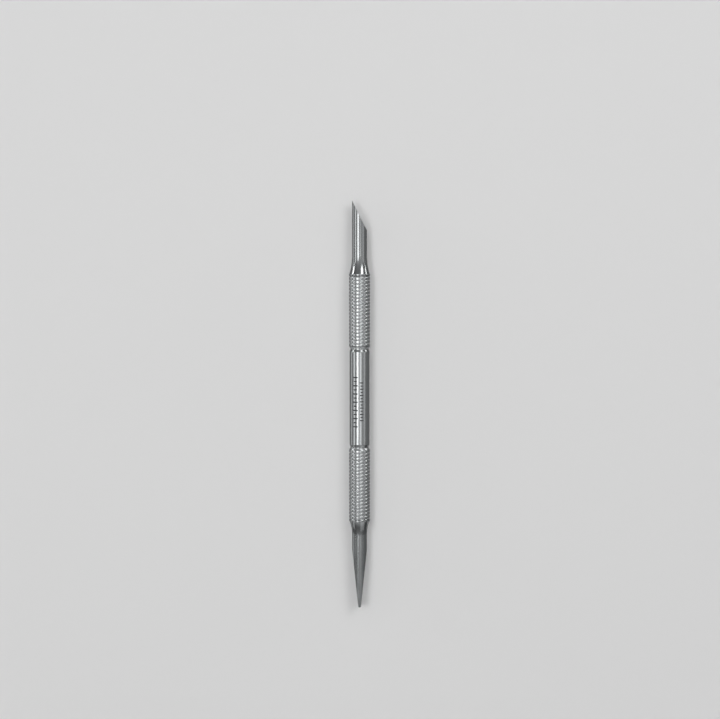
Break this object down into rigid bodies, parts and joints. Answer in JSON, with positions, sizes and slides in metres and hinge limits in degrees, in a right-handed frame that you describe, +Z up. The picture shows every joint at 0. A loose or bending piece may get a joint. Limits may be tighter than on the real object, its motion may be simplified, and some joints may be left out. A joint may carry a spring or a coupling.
{
  "type": "cuticle pusher",
  "caption": "Double-ended steel cuticle pusher: round handle with ringed grips at both ends of a plain barrel, one blade ground to an oblique bevel, the other to a straight chisel.",
  "frame": {"origin": "centre of the tool's bounding box, on the surface that the tool lies on", "axes": "+Y along the tool towards the bevelled blade, +Z up, +X towards the heel of the bevel"},
  "size_m": [0.0064, 0.1272, 0.0065],
  "materials": {
    "barrel_steel": "bright polished stainless steel with fine turning marks",
    "grip_steel": "satin stainless steel, turned into a row of rounded rings",
    "blade_steel": "polished stainless steel rod with ground working faces"
  },
  "bodies": {
    "root": {"centre_barrel": "barrel_steel", "bevelled_end_grip": "grip_steel", "straight_end_grip": "grip_steel", "bevelled_blade": "blade_steel", "straight_blade": "blade_steel"}
  },
  "joints": []
}
